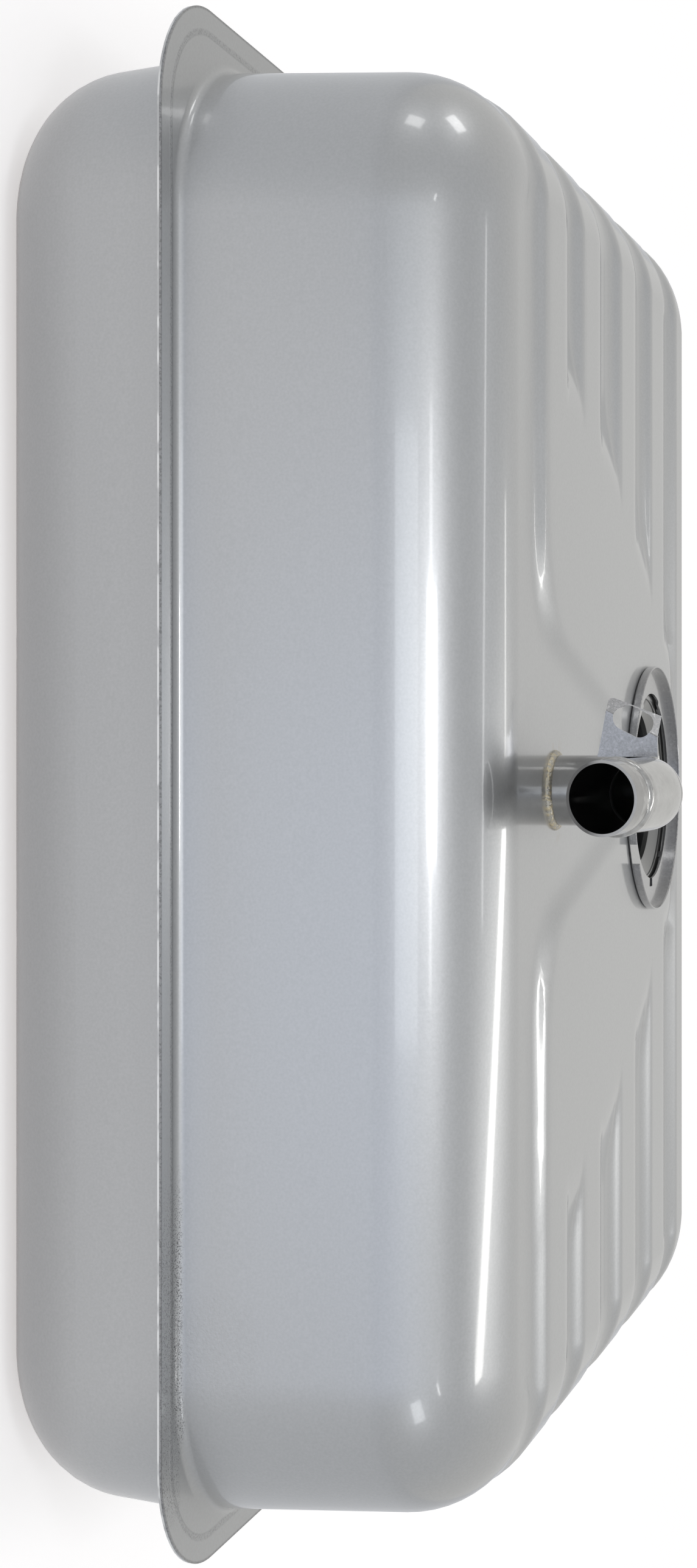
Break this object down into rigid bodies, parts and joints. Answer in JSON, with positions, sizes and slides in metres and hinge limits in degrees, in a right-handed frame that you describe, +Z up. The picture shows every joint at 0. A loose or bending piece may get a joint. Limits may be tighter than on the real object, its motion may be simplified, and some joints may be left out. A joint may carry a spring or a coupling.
{
  "type": "vehicle fuel tank",
  "caption": "Pressed sheet-metal vehicle fuel tank with a seam flange, ribbed top face, bent filler neck with a hose bead, folded side bracket and round sender opening inside a raised ring.",
  "frame": {"origin": "middle of the flat base, between the side walls and halfway from the front wall to the back wall, on the plane the tank rests on", "axes": "+X to the right seen from the filler mouth side, +Y from the filler mouth side to the back, +Z up from the base to the ribbed top"},
  "size_m": [0.7605, 0.584, 0.3294],
  "materials": {
    "shell_coating": "silver-grey semi-gloss coating with fine orange peel",
    "tube_coating": "silver-grey coating, thinner and duller near the brazed joint",
    "ring_coating": "silver-grey coating, slightly duller",
    "braze": "coated braze, pale and slightly yellow"
  },
  "bodies": {
    "root": {"lower_shell": "shell_coating", "upper_shell": "shell_coating", "filler_elbow": "tube_coating", "neck_braze": "braze", "hose_bracket": "ring_coating", "sender_ring": "ring_coating"}
  },
  "joints": []
}
